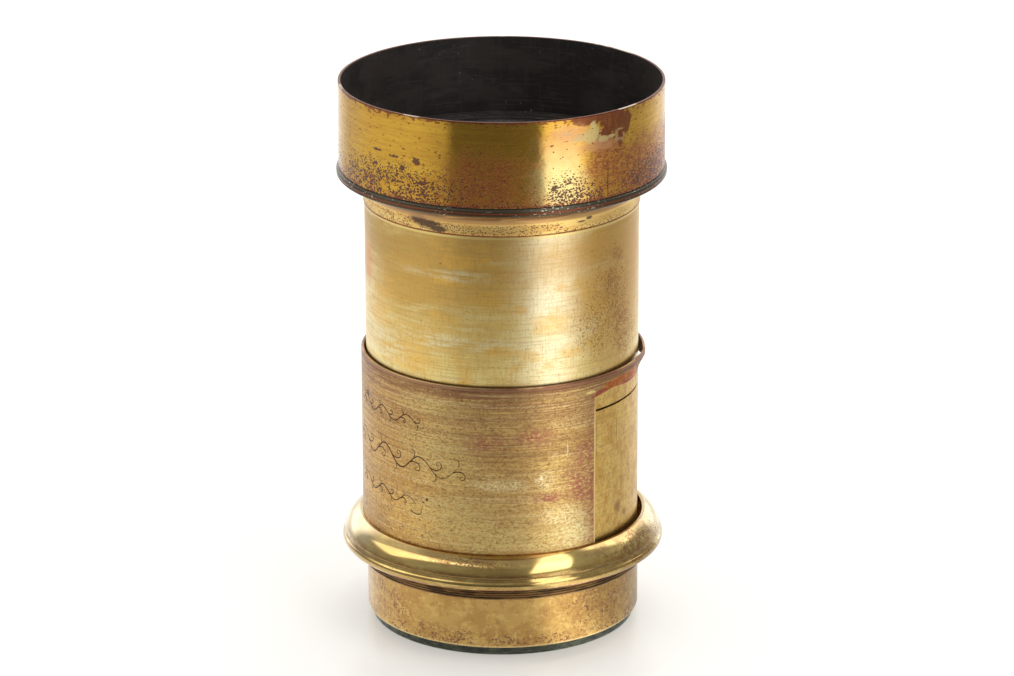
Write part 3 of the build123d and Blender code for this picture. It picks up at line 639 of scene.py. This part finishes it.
def sleeve_finish():
    f = Finish("engraved_brass", (214, 178, 106), 0.38, radius=sleeve_r)
    f.layer(f.patches([(-64, 22, 24, 34), (185, 25, 40, 30)], 0.3, 0.08, 0.6), (212, 168, 92), 0.36)
    f.layer(f.blotch((0.05, 0.12), 0.42, 0.58), (190, 148, 88), 0.42, 0.6)
    # purple-brown towards the rim
    f.layer([f.up(42, 57), f.blotch((0.03, 0.3), 0.36, 0.56)], (166, 118, 86), 0.4, 0.7)
    f.layer([f.up(54.5, 57.5), f.blotch((0.05, 1.2), 0.4, 0.55)], (136, 86, 68), 0.36, 0.7)
    # rings scratched round it, light and dark, long and short
    rings = f.blotch((0.012, 1.7), 0.48, 0.58, 3)
    f.layer(rings, (164, 126, 78), 0.42, 0.3)
    f.layer([rings, f.up(30, 42)], (150, 110, 72), 0.42, 0.4)
    f.layer(f.blotch((0.03, 2.1), 0.53, 0.6, 3), (236, 208, 148), 0.3, 0.4)
    f.layer(f.blotch((0.3, 2.0), 0.53, 0.61, 4, 0.7), (138, 100, 62), 0.46, 0.4, 0.95)
    f.layer(f.blotch((0.5, 2.2), 0.55, 0.63, 4, 0.7), (232, 206, 148), 0.3, 0.35)
    # grain left by a file and by fingers
    f.layer(f.blotch((1.2, 1.5), 0.51, 0.6, 4, 0.7), (146, 108, 68), 0.46, 0.5, 0.95)
    f.layer(f.blotch((1.8, 2.0), 0.54, 0.62, 3, 0.6), (122, 84, 54), 0.48, 0.4, 0.9)
    f.layer(f.blotch((0.9, 1.4), 0.62, 0.66, 3, 0.6), (108, 72, 50), 0.5, 0.55, 0.8)
    # yellow patch by the rim, and greenish specks low down
    grains = f.blotch((1.2, 2.0), 0.47, 0.54, 4, 0.7)
    yellow = f.patches([(-30, 53, 9, 3), (-6, 15.5, 18, 5), (4, 17, 8, 2.5), (28, 14, 10, 5),
        (-20, 22, 14, 4), (18, 12, 20, 2), (-28, 40, 10, 8)], 0.9, 0.2, 0.8)
    f.layer([yellow, grains], (218, 200, 132), 0.4, 0.6)
    # red stains beside the window
    stains = f.patches([(33, 28, 5.2, 5.2), (35, 36, 3.2, 5.0), (38, 10.5, 2.0, 2.0), (12, 44.6, 5.0, 2.2),
        (-7, 43, 5, 2.4), (19, 26, 4.5, 1.2), (39, 30, 1.6, 19), (262, 20, 8.0, 4.0)], 1.1, 0.24, 0.8)
    f.layer([stains, f.blotch((0.8, 1.6), 0.42, 0.54, 4, 0.7)], (160, 86, 78), 0.38, 0.8, 0.9)
    # pale worn places
    pale = f.patches([(16.5, 31.5, 2.4, 2.4), (30, 14.5, 5.5, 4.5), (0, 30.4, 7, 1.6), (25, 20, 6, 2.4)],
        0.9, 0.3, 0.8)
    f.layer([pale, f.blotch((1.2, 2.0), 0.46, 0.54, 4, 0.7)], (240, 224, 170), 0.32, 0.65)
    f.layer(f.patches([(27, 40, 0.12, 2.6), (15.6, 32.2, 0.6, 0.6)], 0.6, 0.8, 0.3),
        (240, 226, 180), 0.3, 0.6)
    # small dark pits
    f.layer(f.patches([(-32, 24, 0.55, 0.5), (-33.8, 23.0, 0.4, 0.3), (-71, 49.5, 1.2, 0.9)], 0.9, 1.3,
        0.3), (98, 66, 46), 0.5, 0.85, 0.6)
    # painted highlight along the edge of the window and at its top corner, and the thin brown line where the
    # collar begins
    f.layer(f.patches([(window_from - 0.3, 28, 0.36, 27), (window_from - 0.15, 54.8, 0.22, 1.2),
        (window_from - 2.4, 55.9, 1.7, 0.4)], 0.15, 0.3, 0.2), (240, 212, 138), 0.32, 0.85)
    f.layer([f.up(collar_high + 0.4, collar_high + 0.2), f.blotch(0.3, 0.42, 0.54)], (170, 104, 54),
        0.36, 0.7, 0.9)
    # lip: brown, with fine lines and a thin brighter edge in places
    f.layer([f.up(58.45, 58.7), f.up(59.15, 58.95)], (110, 74, 52), 0.42, 0.5, 0.9)
    f.layer(f.up(58.8, 59.2), (150, 104, 80), 0.34, 0.8, 0.95)
    f.layer([f.up(59.4, 59.7), f.blotch((0.04, 0.1), 0.46, 0.54)], (208, 172, 126), 0.3, 0.7)
    # the strip over the window is orange-red where lacquer is left
    strip = f.patches([(49, 55.7, 3.2, 1.8), (54, 56.1, 4.2, 2.1), (60, 56.5, 4.5, 2.1),
        (65.5, 57.0, 2.8, 1.8)], 0.4, 0.5, 0.12)
    worn = f.blotch((0.5, 1.2), 0.44, 0.6, 4, 0.7)
    f.layer([strip, f.up(58.2, 57.9)], f.mix(worn, srgb(172, 92, 36), srgb(196, 124, 66)), 0.2, 0.92)
    low = f.patches([(46, 54.3, 5.0, 0.9), (54, 54.4, 5.0, 0.9), (61, 54.9, 4.0, 0.9), (44, 55, 3, 1)],
        0.5, 0.5, 0.2)
    f.layer(low, f.mix(worn, srgb(150, 70, 52), srgb(176, 100, 80)), 0.24, 0.88)
    f.bump(f.noise((0.05, 2.2), 4, 0.7), 0.03)
    f.bump(f.noise((0.6, 2.0), 3), 0.02)
    return f.done(0.04, 0.25)


def collar_finish():
    f = Finish("collar_brass", (226, 198, 122), 0.07, radius=collar_seat_r)
    f.layer(f.blotch((0.05, 0.3), 0.42, 0.6), (216, 182, 106), 0.1)
    # painted reflection of the sleeve: browner on its upper side, where it meets the sleeve
    f.layer([f.up(6.6, 8.6), f.blotch((0.1, 0.3), 0.38, 0.5)], (188, 156, 106), 0.14, 0.6)
    tarnish = f.patches([(64, 5, 18, 5.5), (230, 5, 24, 5), (-14, 7.4, 14, 1.2)], 0.9, 0.18, 0.6)
    f.layer([tarnish, f.blotch((0.5, 0.9), 0.45, 0.56)], (170, 118, 68), 0.2, 0.75)
    f.layer(f.blotch((0.1, 1.8), 0.5, 0.62), (186, 146, 80), 0.14, 0.35)
    # painted highlights: pale patches at the left and right ends of the round, as seen from the front
    f.layer(f.patches([(-80, 4.5, 15, 6), (84, 3.5, 9, 6)], 0.6, 0.2, 0.7), (244, 226, 186), 0.14, 0.8)
    f.layer(f.dots(f.largest(tarnish, f.times(f.up(5.0, 3.4), 0.6)), (1.3, 1.6), 0.38), (118, 80, 52),
        0.3, 0.75, 0.85)
    f.layer([f.up(6.2, 4.4), f.blotch((0.12, 0.5), 0.34, 0.54)], (166, 132, 72), 0.12, 0.6)
    # lines where dirt lies: the groove and both its banks
    f.layer([f.up(3.3, 3.6), f.up(4.2, 3.9)], (140, 104, 62), 0.3, 0.8, 0.95)
    f.layer(f.patches([(38, 3.8, 3.4, 0.3)], 0.3, 0.5, 0.3), (58, 46, 34), 0.5, 0.9, 0.6)
    f.layer([f.up(5.2, 4.2), f.up(3.9, 4.1), f.blotch((0.4, 0.8), 0.46, 0.56)], (168, 108, 58), 0.2, 0.6)
    f.layer([f.up(1.1, 0.4), f.up(-0.1, 0.0), f.blotch((0.3, 0.8), 0.44, 0.52)], (164, 92, 60),
        0.3, 0.8, 0.95)
    # the thread is brown
    f.layer(f.up(-0.05, -0.3), (158, 128, 84), 0.36, metallic=0.95)
    f.layer([f.up(-0.05, -0.3), f.blotch((0.15, 0.8), 0.44, 0.58)], (112, 90, 60), 0.44, metallic=0.85)
    turning_lines(f, 5.0, 0.002)
    return f.done(0.4, 0.04)


def band_finish():
    f = Finish("rear_band_brass", (196, 158, 90), 0.27, radius=band_r)
    f.layer(f.blotch((0.12, 0.14), 0.44, 0.58, 5, 0.65), (178, 136, 74), 0.3, 0.7)
    f.layer(f.blotch((0.35, 0.4), 0.52, 0.62, 4, 0.6), (216, 182, 110), 0.24, 0.5)
    blot = f.patches([(-52, -12, 8, 5), (-62, -9, 5, 3), (-24, -17, 16, 2.5), (8, -18, 14, 2.0),
        (46, -11, 16, 7), (30, -19, 12, 1.5), (120, -12, 18, 5), (210, -14, 18, 4)], 0.9, 0.3, 0.9)
    f.layer([blot, f.blotch((0.9, 1.0), 0.46, 0.58, 5, 0.7)], (146, 100, 62), 0.34, 0.65, 0.95)
    f.layer(f.blotch((0.6, 0.7), 0.54, 0.64, 5, 0.7), (156, 110, 66), 0.34, 0.45, 0.95)
    crowd = f.times(f.largest(blot, f.up(-12, -19)), f.blotch((0.25, 0.3), 0.4, 0.54))
    marks = f.largest(f.dots(crowd, (1.3, 1.5), 0.42), f.dots(crowd, (0.7, 0.9), 0.28))
    f.layer(marks, (122, 82, 62), 0.4, 0.8, 0.9)
    f.layer(f.up(rear_low + 0.9, rear_low + 0.4), (236, 204, 140), 0.24, 0.6)
    f.layer([f.up(-6.4, -4.9), f.blotch((0.3, 1.0), 0.42, 0.56)], (170, 124, 70), 0.3, 0.7)
    turning_lines(f, 4.0, 0.005)
    f.bump(marks, -0.015)
    return f.done(0.12, 0.12)


def rim_finish():
    """The dark, green-brown ring that the lens stands on."""
    f = Finish("rim_brass", (80, 82, 66), 0.36, 0.8)
    f.layer(f.blotch((0.3, 0.8), 0.4, 0.6), (50, 56, 48), 0.45, metallic=0.6)
    f.layer(f.blotch((1.2, 1.6), 0.62, 0.7), (140, 126, 86), 0.35, 0.6, 0.9)
    turning_lines(f, 4.0, 0.01)
    return f.done()


def drive_finish(name, colour, roughness):
    """Small turned and filed brass parts, with brown lacquer left in their corners."""
    f = Finish(name, colour, roughness)
    f.layer(f.blotch(0.35, 0.42, 0.68, 4), (178, 128, 68), roughness + 0.08, 0.7)
    f.layer(f.blotch(1.6, 0.62, 0.7, 3), (116, 78, 50), 0.42, 0.75, 0.7)
    f.layer(f.blotch((0.4, 2.5, 2.5), 0.55, 0.7, 3), (234, 200, 130), roughness, 0.4)
    f.bump(f.noise((0.5, 5.0, 5.0), 2), 0.006)
    return f.done(0.15, 0.1)


def steel_finish(name, colour, worn, roughness):
    f = Finish(name, colour, roughness)
    f.layer(f.blotch(1.2, 0.4, 0.7, 4), worn, roughness + 0.12, 0.7)
    f.layer(f.blotch(2.2, 0.62, 0.72, 3), (104, 66, 44), 0.6, 0.5, 0.4)
    f.bump(f.noise(4.0, 2), 0.006)
    return f.done()


def glass_finish(name, tint, index):
    f = Finish(name, tint, 0.0, 0.0)
    f.layer(f.blotch(0.06, 0.5, 0.8), roughness=0.025)
    return f.done(constants={"Transmission Weight": 1.0, "IOR": index})


def shaded_inside_finish():
    """The sleeve's inner face, painted dull and brown as shade: bare brass that lies in shade inside the
    sleeve.
    """
    f = Finish("sleeve_inside", (110, 84, 54), 0.5, 0.8)
    f.layer(f.blotch((0.3, 0.8), 0.45, 0.6), (78, 60, 44), 0.6, metallic=0.6)
    turning_lines(f, 3.0, 0.02)
    return f.done()


def engraving_finish():
    f = Finish("engraving", (84, 56, 36), 0.5, 0.8)
    f.layer(f.blotch(1.5, 0.45, 0.6), (112, 78, 48), 0.45, metallic=0.9)
    return f.done()


hood_brass = hood_finish()
blacked = black_finish()
cell_brass = cell_finish()
tube_brass = tube_finish()
sleeve_brass = sleeve_finish()
collar_brass = collar_finish()
band_brass = band_finish()
rim_brass = rim_finish()
drive_brass = drive_finish("drive_brass", (214, 172, 98), 0.2)
rack_brass = drive_finish("rack_brass", (200, 160, 94), 0.26)
blued_steel = steel_finish("blued_steel", (66, 70, 86), (46, 48, 60), 0.3)
cut_steel = steel_finish("cut_steel", (150, 148, 146), (104, 102, 100), 0.28)
crown_glass = glass_finish("crown_glass", (250, 252, 250), 1.52)
flint_glass = glass_finish("flint_glass", (252, 250, 240), 1.62)
engraving = engraving_finish()
shaded_inside_brass = shaded_inside_finish()


# ---- turned pieces
def thread(radius, low, high, pitch, depth):
    """Outline points up a screw thread, drawn as close rings."""
    points = []
    for k in range(int((high - low) / pitch)):
        foot = low + k * pitch
        points += [(radius, foot), (radius, foot + 0.2 * pitch), (radius - depth, foot + 0.55 * pitch),
                   (radius - depth, foot + 0.65 * pitch)]
    return points + [(radius, high)]


def wall(radius, low, high, count):
    """Outline points up a plain wall."""
    return [(radius, low + (high - low) * k / count) for k in range(count + 1)]


def hood_dents(angle, r, z):
    """The hood is a little out of round, more so towards the rim."""
    share = max(0.0, (z - hood_foot) / (hood_high - hood_foot)) ** 1.5
    a = radians(angle)
    return share * (0.10 * sin(2 * a + 0.6) + 0.06 * sin(3 * a + 2.0) + 0.035 * sin(7 * a + 1.0)
                    + 0.02 * sin(13 * a))


def offsets(r, z, *steps):
    """Outline points at steps from one place."""
    return [(r + out, z + up) for out, up in steps]


lathe("hood", "front_mount",
      soften(wall(hood_r, hood_foot, hood_high, 10) + wall(hood_bore, hood_high, hood_foot, 10), 0.3, 4),
      [hood_brass, blacked], ["lens_hood"], lambda r, z: r < hood_bore + 0.1, 360, hood_dents)

front_profile = (
    [(aperture_r, front_low)] + thread(spigot_r, front_low, tube_high - 0.8, 1.0, 0.35)
    + offsets(spigot_r - 0.3, tube_high, (0, -0.75), (0, 0))
    + offsets(cell_band_r, tube_high, (0, 0), (0, 0.25), (-0.12, 0.4), (0, 0.55))
    + wall(cell_band_r, tube_high + 1.0, cell_band_high, 4)
    + arc((cell_band_r, cell_band_high), (42.0, 111.5), (flange_r - 1.2, flange_low), 12)[1:]
    + offsets(flange_r, flange_low, (-0.35, 0.05), (-0.05, 0.35), (-0.05, 0.7), (-0.22, 0.9), (0, 1.1))
    + offsets(flange_r, hood_foot, (0, -0.85), (-0.3, -0.4))
    + offsets(hood_r, hood_foot, (0.1, -0.2), (0.05, -0.03))
    + [(hood_bore - 0.06, hood_foot - 0.03), (hood_bore - 0.06, front_high)]
    + offsets(ring_groove_r, front_high, (0, 0), (0, -0.5))
    + offsets(ring_face_r, front_high, (0, -0.5), (0, 0))
    + [(ring_thread_r, front_high), (ring_thread_r, ring_seat_z), (glass_bore, ring_seat_z),
       (glass_bore, front_glass_seat), (aperture_r, front_glass_seat)])
lathe("front_cell_turned", "front_mount", soften(front_profile, 0.1), [cell_brass, blacked],
      ["front_cell"], lambda r, z: (z > hood_foot + 0.2 or r < spigot_r - 0.5) and r < hood_bore)

collar_profile = (
    [(collar_bore, sleeve_low), (collar_bore, collar_low), (collar_thread_r - 0.3, collar_low)]
    + thread(collar_thread_r, collar_low + 0.3, -0.15, 0.7, 0.35)
    + [(collar_thread_r - 0.5, -0.1), (collar_thread_r - 0.5, 0.0), (collar_seat_r, 0.0)]
    + arc((collar_seat_r, 0.0), (47.55, 1.1), (46.95, 2.6), 14)[1:]
    + [(46.4, 3.5), (46.4, 3.62)]
    + arc((46.6, 3.66), (46.86, 3.82), (46.85, 4.15), 5)
    + arc((46.85, 4.15), (45.02, 7.0), (42.25, collar_high), 20)[1:]
    + [(sleeve_r + 0.02, collar_high), (sleeve_r + 0.02, sleeve_low)])
lathe("collar_turned", "outer_body", soften(collar_profile, 0.09), [collar_brass],
      ["mount_collar"], segments=300)

rear_profile = (
    [(glass_bore, rear_low), (band_r - 0.35, rear_low)] + wall(band_r, rear_low + 0.35, tube_low, 8)
    + offsets(spigot_r - 0.35, tube_low, (0, 0), (0, 0.7))
    + thread(spigot_r, tube_low + 0.8, rear_high, 1.0, 0.35)
    + [(aperture_r, rear_high), (aperture_r, rear_glass_seat), (glass_bore, rear_glass_seat)])
lathe("rear_cell_turned", "rear_mount", soften(rear_profile, 0.1), [band_brass, blacked],
      ["rear_cell"], lambda r, z: r < spigot_r - 0.5 and z > rear_low + 0.5)


# ---- draw tube
slot_from, slot_to = window_angle - slot_half, window_angle + slot_half
level_step = 4.0
above_slot = slot_z + level_step
tube_levels = [tube_low + level_step * k for k in range(int((slot_z - tube_low) / level_step))]
tube_levels += [slot_z - slot_height / 2, slot_z + slot_height / 2]
tube_levels += [above_slot + (tube_high - slot_z - level_step) * k / 13 for k in range(14)]


def tube_there(angle, z):
    return not (slot_from < angle < slot_to and abs(z - slot_z) < slot_height / 2)


shell("draw_tube_sheet", "barrel", even_columns(1.5, slot_from, slot_to), tube_levels,
      tube_there, lambda angle, z: tube_r, lambda angle, z: tube_bore, lambda angle, z: z,
      [tube_brass, blacked], 0.1, ["draw_tube"])


# ---- outer sleeve
half_chord = sleeve_r * sin(radians(window_half))
arch_rise = window_crown_z - window_corner_z
arch_radius = (half_chord ** 2 + arch_rise ** 2) / (2 * arch_rise)
lip_z = sleeve_high - 1.1
strip_bow = 0.55


def across(angle):
    """How far an angle is from the window's middle, as a share of its half width, up to 1."""
    return min(1.0, abs((angle - window_angle + 180) % FULL_TURN - 180) / window_half)


def arch_z(angle):
    """Lower edge of the strip over the window, with the small waves of a filed edge."""
    if across(angle) >= 1:
        return window_corner_z
    x = sleeve_r * sin(radians(angle - window_angle))
    waves = 0.10 * sin(radians(angle * 9)) + 0.07 * sin(radians(angle * 23 + 40))
    drop = 2.3 / (1 + exp(-(angle - 90) / 2.0)) * (1 - across(angle) ** 4)
    drop += 2.4 / (1 + exp(-(angle - 56) / 3.0)) / (1 + exp((angle - 71) / 1.3))
    arch = window_crown_z - arch_radius + sqrt(arch_radius ** 2 - x * x)
    return arch + waves * (1 - across(angle) ** 4) - drop


def hump(angle, height, at, width):
    return height * exp(-((angle - at) / width) ** 2)


def bow(angle, z):
    """The strip over the window stands off the round, most near its middle."""
    share = 1 - across(angle) ** 2
    rise = min(1.0, max(0.0, (z - window_corner_z + 2) / 4))
    kink = hump(angle, 0.22, 83, 5.0) - hump(angle, 0.16, 72, 4.0)
    return rise * (strip_bow * share ** 1.5 + kink * share)


# levels below LEVEL_ARCH are plain heights, and the ones from it up follow the arch
LEVEL_ARCH = 100
LEVEL_LIP = 104
LEVEL_GROOVE = 104.4
LEVEL_ROUND = 105
LEVEL_TURN = 105.5
LEVEL_RIM = 106
sleeve_levels = [sleeve_low, 4.5, 7.0, collar_high] + [collar_high + 3.2 * k for k in range(1, 14)]
sleeve_levels += [LEVEL_ARCH, 101, 102, 103, LEVEL_LIP, LEVEL_GROOVE, LEVEL_ROUND, LEVEL_TURN, LEVEL_RIM]


def sleeve_z(angle, level):
    if level < LEVEL_ARCH:
        return level
    top = sleeve_high - hump(angle, 0.35, 80, 7.0) - hump(angle, 0.2, 97, 5.0)
    lip = top - (sleeve_high - lip_z)
    if level <= LEVEL_LIP:
        start = arch_z(angle)
        return start + (lip - start) * (level - LEVEL_ARCH) / (LEVEL_LIP - LEVEL_ARCH)
    return lip + (top - lip) * (level - LEVEL_LIP) / (LEVEL_RIM - LEVEL_LIP)


def sleeve_outer(angle, level):
    z = sleeve_z(angle, level)
    lip = {LEVEL_GROOVE: -0.05, LEVEL_ROUND: 0.02, LEVEL_TURN: -0.02, LEVEL_RIM: -0.25}.get(level, 0.0)
    return sleeve_r + lip + bow(angle, z)


def sleeve_inner(angle, level):
    thin = 0.45 * min(1.0, max(0.0, level - LEVEL_LIP)) if level > LEVEL_ARCH else 0.0
    return sleeve_bore + thin + 1.15 * bow(angle, sleeve_z(angle, level))


def sleeve_there(angle, level):
    in_window = window_from < angle < window_to and level < LEVEL_ARCH
    in_rack_slot = abs(angle - rack_angle) < rack_slot_half and level > collar_high
    return not (in_window or in_rack_slot)


shell("outer_sleeve_sheet", "outer_body",
      even_columns(1.2, window_from, window_to, rack_angle - rack_slot_half, rack_angle + rack_slot_half),
      sleeve_levels, sleeve_there, sleeve_outer, sleeve_inner, sleeve_z, [sleeve_brass, shaded_inside_brass], 0.08,
      ["outer_sleeve"])


# ---- engraved scrollwork
def tendril(u, z, heading, size, turns, hand, width):
    """A stroke that sets off at a heading in degrees and curls up. hand is 1 to curl left, -1 right."""
    steps = 36
    path, x, y = [], 0.0, 0.0
    for k in range(steps + 1):
        s = k / steps
        path.append((u + x, z + y, width * (1 - 0.8 * s) + 0.05))
        course = radians(heading) + hand * tau * turns * s ** 1.6
        pace = size * (1 - 0.72 * s) / steps
        x += pace * cos(course)
        y += pace * sin(course)
    return path


def vine(z, start, end, wave, height, slope=0.0, width=0.36):
    """A waving stem with a curl in each of its bends, as (arc length, z, width) strokes."""
    def stem_z(u):
        return z + slope * (u - start) + height * sin(tau * u / wave)

    steps = ceil((end - start) / 0.5)
    stem = []
    for k in range(steps + 1):
        u = start + (end - start) * k / steps
        stem.append((u, stem_z(u), 0.08 + width * sin(pi * k / steps) * 0.8))
    paths = [stem]
    bend = ceil((start + 0.5) / (wave / 2))
    while bend * wave / 2 < end - 0.5:
        u = bend * wave / 2
        side = 1 if bend % 2 == 0 else -1
        base = stem_z(u)
        tip = base + side * 0.7 * height
        paths.append(tendril(u, base, side * 20, 5.2 * height, 1.35, -side, 0.34))
        paths.append(tendril(u + 0.12 * wave, tip, side * 75, 2.0 * height, 0.5, side, 0.24))
        bend += 1
    return paths


flourishes = (vine(47.4, -59, -22, 11.0, 1.5, -0.01) + vine(36.0, -61, -13, 14.6, 2.5, -0.05, 0.44)
              + vine(23.4, -57, -27, 11.0, 1.5, -0.04))
flourishes.append(tendril(-29, 19.6, -28, 9.0, 0.55, 1, 0.3))
strokes("sleeve_scrollwork", "outer_body", flourishes, sleeve_r, engraving)

seam_steps = 24
seam = [(radians(seam_angle) * hood_r + 0.12 * sin(k * 0.9),
         seam_low + (seam_high - seam_low) * k / seam_steps,
         0.22 * (1 - (k / seam_steps) ** 3) + 0.05) for k in range(seam_steps + 1)]
strokes("hood_seam", "front_mount", [seam], hood_r, engraving)


# ---- small pieces, with eased edges
for node, body, slot_name, material, edge in (
        ("pinion_block", "outer_body", "drive_brass", drive_brass, 0.25),
        ("pinion_cap", "outer_body", "drive_brass", drive_brass, 0.2),
        ("focus_knob", "pinion_group", "drive_brass", drive_brass, 0.08),
        ("thrust_washer", "pinion_group", "rack_brass", rack_brass, 0.06),
        ("focus_rack", "barrel", "rack_brass", rack_brass, 0.05)):
    dressed(node, body, material, edge)

for node, material in {
        "cap_screws": blued_steel, "knob_screw": blued_steel, "rack_screws": rack_brass, "pinion": cut_steel,
        "stop_guide_front": blacked, "stop_guide_rear": blacked, "front_retaining_ring": blacked,
        "rear_spacer": blacked, "rear_retaining_ring": rim_brass, "front_crown": crown_glass,
        "rear_crown": crown_glass, "front_flint": flint_glass, "rear_flint": flint_glass}.items():
    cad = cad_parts[node]
    cad.data.materials.clear()
    cad.data.materials.append(material)


# ---- floor
def level_plane(name, half, z, material):
    """A square sheet that isn't part of the object."""
    mesh = bpy.data.meshes.new(name)
    corners = [(-half, -half, z), (half, -half, z), (half, half, z), (-half, half, z)]
    mesh.from_pydata(corners, [], [(0, 1, 2, 3)])
    mesh.materials.append(material)
    plane = new_object(name, mesh)
    return plane


paper = Finish("floor_paper", (0.62, 0.612, 0.592, 1.0), 0.2, 0.0)
floor = level_plane("floor", 4.0, stand_z * MM, paper.done(constants={
    "Specular IOR Level": 0.4, "Emission Color": (1.0, 0.975, 0.91, 1.0), "Emission Strength": 0.34}))
floor.visible_glossy = False


# ---- studio light
def white(value):
    return (value, value, value, 1)


# brightness by azimuth, of the far table and of the room just above it
far_light = [(-180, 1.2), (-152, 1.0), (-132, 0.70), (-115, 0.78), (-60, 0.78), (-52, 0.7), (-38.5, 0.55),
             (-33, 0.17), (0, 0.16), (26, 0.2), (31, 1.45), (55, 1.45), (66, 0.62), (78, 0.5), (104, 0.46),
             (120, 0.62), (140, 0.95), (180, 1.2)]


def table_glow():
    """What the brass mirrors of the table: white close by, and darker in front beyond the table's edge."""
    material = bpy.data.materials.new("table_glow")
    g = Graph(material)
    place = g.add("TexCoord").outputs["Object"]
    away = g.vector("LENGTH", place)
    axes = g.add("SeparateXYZ", {0: place})
    far = g.by_azimuth(axes, far_light)
    near = g.by_azimuth(axes, [
        (-180, 1.3), (-152, 1.25), (-115, 1.15), (-60, 1.1), (-40, 0.86), (0, 0.78), (20, 0.84), (29, 1.75),
        (47, 1.75), (58, 1.1), (70, 0.8), (100, 0.68), (116, 0.8), (138, 1.2), (180, 1.3)])
    light = g.mix(g.ramp(away, 0.29, 0.47), near, far)
    emission = g.add("Emission", {"Color": light, "Strength": 1.0})
    g.put(g.add("OutputMaterial").inputs[0], emission.outputs[0])
    return material


glow = level_plane("table_glow", 3.9, stand_z * MM - 0.0005, table_glow())
glow.visible_camera = glow.visible_diffuse = glow.visible_shadow = glow.visible_transmission = False


def environment():
    """A white sweep behind, a dark room in front, and soft boxes to the left and right of the camera."""
    world = bpy.data.worlds.new("studio")
    bpy.context.scene.world = world
    g = Graph(world)
    axes = g.add("SeparateXYZ", {0: g.add("TexCoord").outputs["Generated"]})
    elevation = g.math("MULTIPLY", g.math("ARCSINE", axes.outputs["Z"]), 180 / pi)
    low = g.by_azimuth(axes, far_light)
    dusk = g.by_azimuth(axes, [
        (-180, 1.0), (-166, 1.0), (-157, 1.7), (-142, 1.7), (-130, 0.4), (-60, 0.34), (-40, 0.2), (0, 0.15),
        (20, 0.2), (26, 1.4), (46, 1.4), (58, 0.35), (120, 0.35), (140, 0.6), (148, 1.7), (160, 1.7),
        (170, 1.0), (180, 1.0)])
    boxes = g.by_azimuth(axes, [
        (-180, 0.9), (-160, 0.9), (-148, 1.4), (-130, 0.75), (-96, 0.65), (-80, 0.4), (0, 0.22), (55, 0.4),
        (96, 0.35), (116, 0.6), (126, 2.2), (160, 1.6), (180, 0.8)])
    light = low
    for start, end, above in ((1, 7, dusk), (26, 34, boxes), (54, 62, white(0.42))):
        light = g.mix(g.ramp(elevation, start, end), light, above)
    # the two soft boxes, each between two straight edges overhead
    height = g.math("MAXIMUM", axes.outputs["Z"], 0.2)

    def edge(across, along, from_value, to_value):
        """1 where across * X + along * Y is past the edge, both as seen on a ceiling."""
        reach = g.math("ADD", g.math("MULTIPLY", axes.outputs["X"], across),
                       g.math("MULTIPLY", axes.outputs["Y"], along))
        return g.ramp(g.math("DIVIDE", reach, height), from_value, to_value)

    for outer, inner, lowest, strength in (
            (edge(-1.0, -0.75, -0.58, -0.50), edge(1.0, 0.2, 0.22, 0.28), 32, 2.8),
            (edge(-1.1, -1.0, 0.66, 0.76), edge(0.4, 1.0, -0.66, -0.54), 24, 2.0)):
        box = g.math("MULTIPLY", g.math("MULTIPLY", outer, inner), g.ramp(elevation, lowest, lowest + 8))
        light = g.mix(box, light, white(strength))
    seen = g.mix(g.add("LightPath").outputs["Is Camera Ray"], light, (1.0, 1.0, 0.995, 1))
    background = g.add("Background", {"Color": seen, "Strength": 1.0})
    g.put(g.add("OutputWorld").inputs[0], background.outputs[0])


environment()


lamp_data = bpy.data.lights.new("overhead", "AREA")
lamp_data.shape = "RECTANGLE"
lamp_data.size = lamp_data.size_y = 2.2
lamp_data.energy = 22
lamp = new_object("overhead", lamp_data)
lamp.location = (0.0, 0.3, 1.9)
lamp.rotation_euler = (Vector() - lamp.location).to_track_quat("-Z", "Y").to_euler()
lamp.visible_camera = lamp.visible_glossy = False

# ---- camera
camera_data = bpy.data.cameras.new("camera")
camera_data.sensor_width = 36.0
camera_data.lens = 165.8
camera_data.clip_start = 0.05
camera = new_object("camera", camera_data)
# the camera's place in metres, and its angles in degrees
camera_away = 1.301
camera_high = 0.4981
camera_pitch = 18.55
camera_yaw = 0.063
camera_roll = -0.136
turned = Matrix.Rotation(radians(-camera_yaw), 4, "Z") @ Matrix.Rotation(radians(90 - camera_pitch), 4, "X")
camera.matrix_world = (Matrix.Translation((0, -camera_away, camera_high)) @ turned
                       @ Matrix.Rotation(radians(camera_roll), 4, "Z"))
bpy.context.scene.camera = camera
bpy.context.scene.view_settings.view_transform = "Standard"
